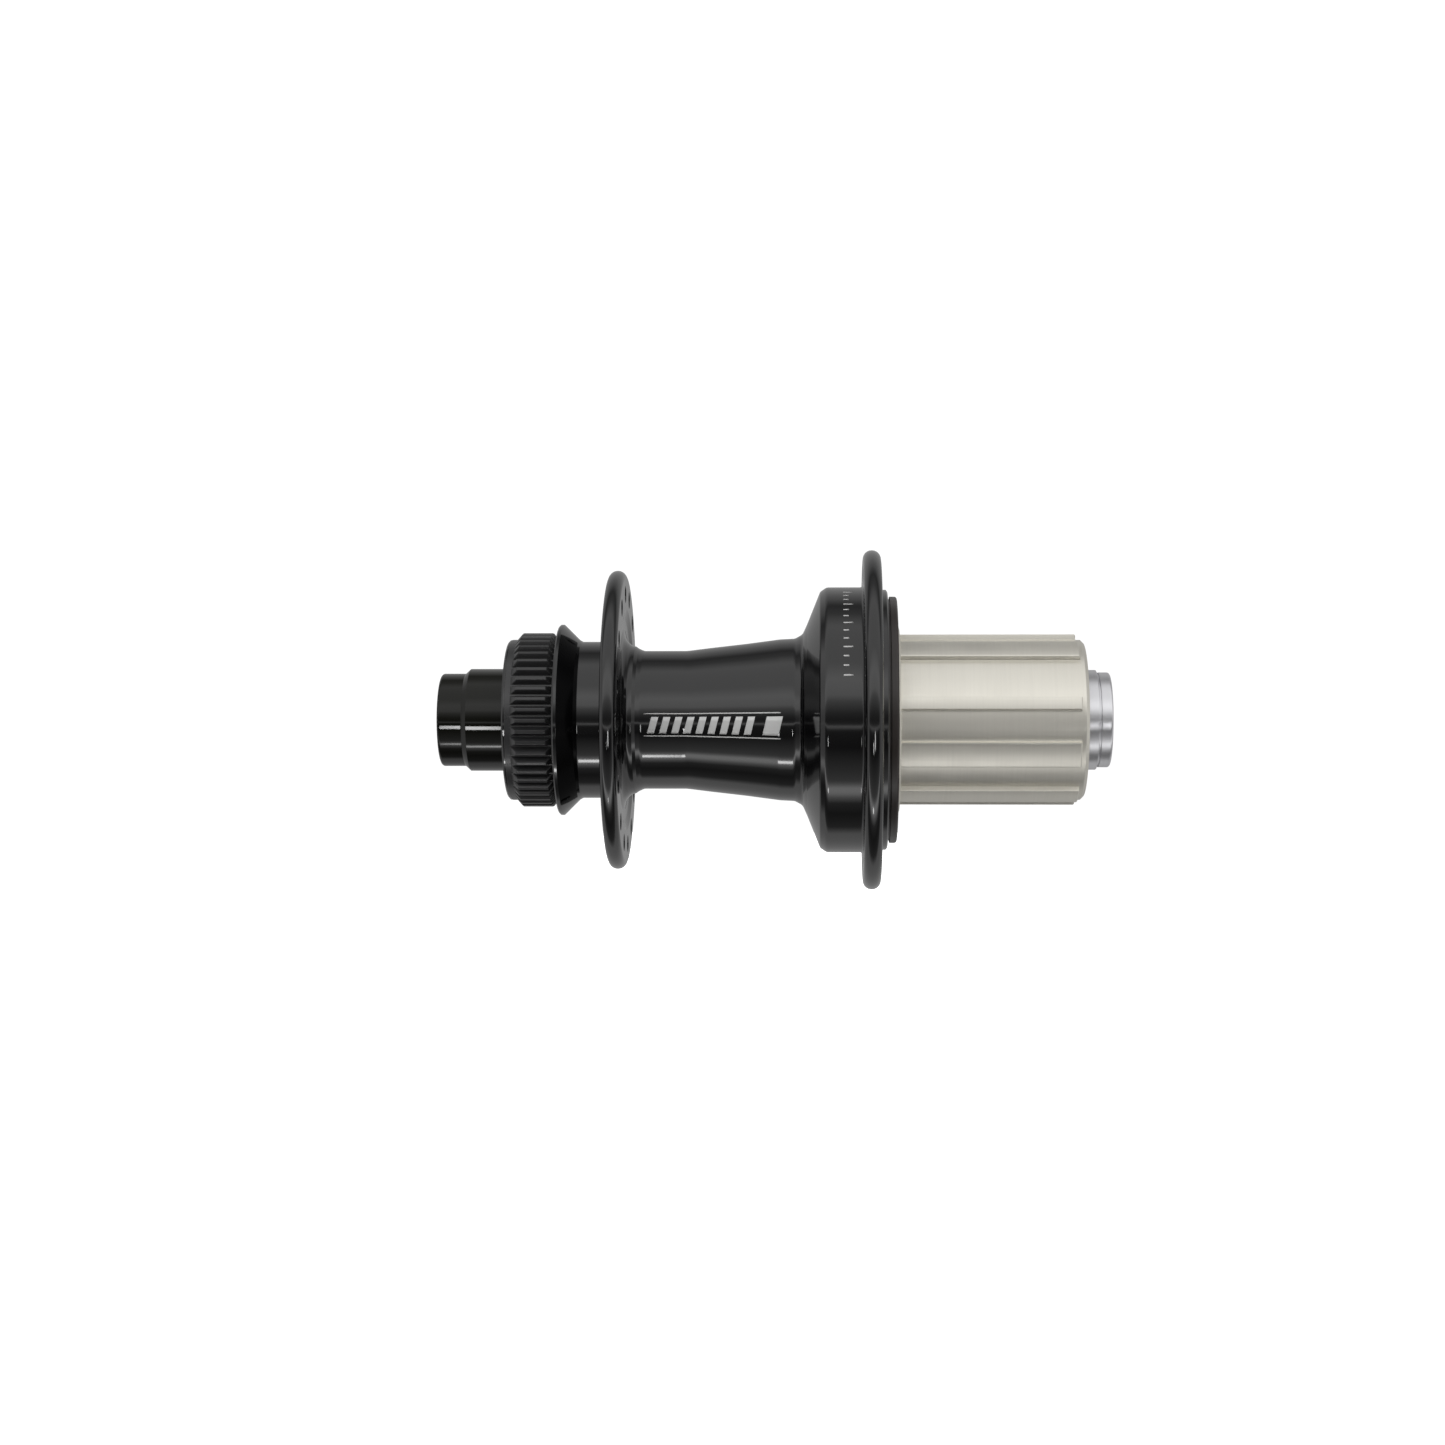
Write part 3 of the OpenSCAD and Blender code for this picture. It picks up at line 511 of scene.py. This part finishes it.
# ---- Ratchet, pawls, bearings and small parts -------------------------------------------------------------
# Hardened steel ratchet and pawls, ground bearing steel, moulded nylon cages and nitrile seals. They sit
# inside the shell and the freehub and show only through the gaps at the ends.
steel = turned_finish("hardened_steel", (0.33, 0.33, 0.35), 1.0, 0.32, marks=0.1, depth=0.5)
spring_steel = turned_finish("tempered_spring_steel", (0.34, 0.36, 0.42), 1.0, 0.25, marks=0.15, depth=0.3)
bearing_steel = turned_finish("ground_bearing_steel", (0.62, 0.63, 0.65), 1.0, 0.16, marks=0.04, depth=0.3)
nylon = turned_finish("moulded_nylon", (0.30, 0.20, 0.09), 0.0, 0.55, ior=1.53, marks=0.5, depth=0.3,
                      smudge=0.1)
nitrile = turned_finish("moulded_nitrile", (0.022, 0.020, 0.019), 0.0, 0.6, marks=0.4, depth=0.4, smudge=0.1)
kinds = {"balls": bearing_steel, "race": bearing_steel, "cage": nylon, "seals": nitrile, "ring": steel,
         "circlip": spring_steel, "spacer": axle_metal}
for name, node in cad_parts.items():
    if not node.hide_render:
        node.data.materials.clear()
        fitting = kinds.get(name.split("_")[-1], steel)
        if "spring" in name:
            fitting = spring_steel
        elif "o_ring" in name:
            fitting = nitrile
        node.data.materials.append(fitting)

# ---- Floor, light and camera ------------------------------------------------------------------------------
# Pale floor and a white room with long soft boxes beside the hub: a wide one above, a narrow one low in
# front, dark flags between them that give the gloss parts their dark bands, and three strip lamps.
FLOOR_Z = -0.15
bpy.ops.mesh.primitive_plane_add(size=6, location=(0, 0, FLOOR_Z))
floor = bpy.context.object
floor.name = "floor"
paper = bpy.data.materials.new("white_paper")
paper.use_nodes = True
paper_shader = paper.node_tree.nodes["Principled BSDF"]
paper_shader.inputs["Base Color"].default_value = (0.9, 0.9, 0.9, 1)
paper_shader.inputs["Roughness"].default_value = 0.9
paper_shader.inputs["Emission Color"].default_value = (1, 1, 1, 1)
paper_shader.inputs["Emission Strength"].default_value = 1.0
floor.data.materials.append(paper)
floor.visible_glossy = False
floor.visible_diffuse = False

room = bpy.data.worlds.new("soft_boxes")
bpy.context.scene.world = room
room.use_nodes = True
nodes, links = room.node_tree.nodes, room.node_tree.links
nodes.clear()
out = nodes.new("ShaderNodeOutputWorld")
direction = nodes.new("ShaderNodeTexCoord")
parts = nodes.new("ShaderNodeSeparateXYZ")
links.new(direction.outputs["Generated"], parts.inputs[0])
tilt = nodes.new("ShaderNodeMath")
tilt.operation = "ARCTAN2"
links.new(parts.outputs[2], tilt.inputs[0])
links.new(parts.outputs[0], tilt.inputs[1])
degrees = nodes.new("ShaderNodeMapRange")
degrees.inputs["From Min"].default_value = -np.pi
degrees.inputs["From Max"].default_value = np.pi
degrees.inputs["To Min"].default_value = 0
degrees.inputs["To Max"].default_value = 1
links.new(tilt.outputs[0], degrees.inputs["Value"])
ramp = nodes.new("ShaderNodeValToRGB")
ramp.color_ramp.interpolation = "LINEAR"
LIGHT_MAX = 3.0
# Brightness by tilt in degrees from the front upward: behind, below, low front, front, above, behind.
boxes = [(-180, 0.36), (-130, 0.5), (-116, 0.6), (-106, 0.16), (-88, 0.09), (-76, 0.2), (-70, 0.9),
         (-66.5, 1.7), (-64, 2.0), (-60.5, 2.0), (-57.5, 1.1), (-54, 0.5), (-45, 0.34), (-24, 0.065),
         (-10, 0.1), (-7.5, 0.2), (-6.6, 1.1), (-5.2, 1.1), (-4.2, 0.2), (0, 0.12), (5.5, 0.22), (11, 0.45),
         (16, 0.68), (21, 1.2), (35, 1.38),
         (50, 0.95), (88, 0.92), (104, 0.32), (116, 0.16), (128, 0.4), (143, 0.48), (180, 0.36)]
for angle, brightness in boxes:
    if abs(angle) < 180:
        stop = ramp.color_ramp.elements.new((angle + 180) / 360)
    else:
        stop = ramp.color_ramp.elements[0 if angle < 0 else -1]
    stop.color = (*[brightness / LIGHT_MAX] * 3, 1)
links.new(degrees.outputs["Result"], ramp.inputs["Fac"])
end_on = nodes.new("ShaderNodeMath")
end_on.operation = "ABSOLUTE"
links.new(parts.outputs[1], end_on.inputs[0])
end_share = nodes.new("ShaderNodeMapRange")
end_share.interpolation_type = "SMOOTHSTEP"
end_share.inputs["From Min"].default_value = 0.8
end_share.inputs["From Max"].default_value = 0.97
end_share.inputs["To Max"].default_value = 0.86
links.new(end_on.outputs[0], end_share.inputs["Value"])
soft = nodes.new("ShaderNodeMix")
soft.data_type = "RGBA"
soft.inputs["B"].default_value = (0.22, 0.22, 0.22, 1)
links.new(end_share.outputs["Result"], soft.inputs["Factor"])
links.new(ramp.outputs["Color"], soft.inputs["A"])
lamp = nodes.new("ShaderNodeBackground")
lamp.inputs["Strength"].default_value = LIGHT_MAX
links.new(soft.outputs["Result"], lamp.inputs["Color"])
backdrop = nodes.new("ShaderNodeBackground")
backdrop.inputs["Color"].default_value = (1, 1, 1, 1)
backdrop.inputs["Strength"].default_value = 1.05
seen = nodes.new("ShaderNodeLightPath")
choose = nodes.new("ShaderNodeMixShader")
links.new(seen.outputs["Is Camera Ray"], choose.inputs[0])
links.new(lamp.outputs[0], choose.inputs[1])
links.new(backdrop.outputs[0], choose.inputs[2])
links.new(choose.outputs[0], out.inputs["Surface"])
bpy.context.scene.view_settings.view_transform = "Standard"


def strip_light(name, tilt, from_y, to_y, width, brightness):
    """Flat lamp a metre from the axle at that tilt in degrees, from from_y to to_y, facing the axle. Its
    power is brightness times pi times its area, which makes it look that bright."""
    tilt = np.radians(tilt)
    lamp = bpy.data.lights.new(name, "AREA")
    lamp.shape = "RECTANGLE"
    lamp.size = width
    lamp.size_y = to_y - from_y
    lamp.energy = brightness * np.pi * lamp.size * lamp.size_y
    made = bpy.data.objects.new(name, lamp)
    made.location = (np.cos(tilt), (from_y + to_y) / 2, np.sin(tilt))
    made.rotation_euler = (0, np.pi / 2 - tilt, 0)
    made.visible_camera = False
    bpy.context.scene.collection.objects.link(made)


strip_light("left_strip", -18.6, -0.213, -0.173, 0.13, 27)
strip_light("right_strip", -14, 0.13, 0.28, 0.2, 9)
strip_light("low_strip", -62.5, -0.21, -0.07, 0.075, 9)

CAMERA_TURN = np.radians(2.186)
CAMERA_DIP = 0.0010
camera_data = bpy.data.cameras.new("camera")
camera_data.lens = 65.96
camera_data.sensor_width = 36
camera_data.clip_start = 0.01
camera = bpy.data.objects.new("camera", camera_data)
camera.location = (0.5367, 0.010, 0.0)
camera.rotation_euler = (np.pi / 2 - CAMERA_DIP, 0, np.pi / 2 + CAMERA_TURN)
bpy.context.scene.collection.objects.link(camera)
bpy.context.scene.camera = camera
